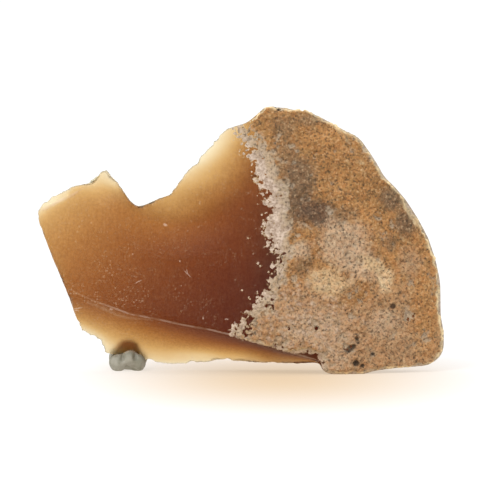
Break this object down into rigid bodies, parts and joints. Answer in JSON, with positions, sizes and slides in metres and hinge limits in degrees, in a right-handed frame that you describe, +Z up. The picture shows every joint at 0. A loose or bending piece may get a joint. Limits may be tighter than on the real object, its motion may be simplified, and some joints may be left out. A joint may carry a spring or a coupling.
{
  "type": "chert flake",
  "caption": "Translucent brown chert flake with rough nodule skin on one side, propped upright on a small lump of grey putty.",
  "frame": {"origin": "on the surface it stands on, below the centre of the whole object's box", "axes": "+Z up; +X along the flake's length towards the rough nodule skin; +Y away from the viewer, out of the smooth ventral face"},
  "size_m": [0.061, 0.0152, 0.0399],
  "materials": {
    "chert": "satin",
    "putty": "matte"
  },
  "bodies": {
    "root": {"chert": "chert", "mounting_putty": "putty"}
  },
  "joints": []
}
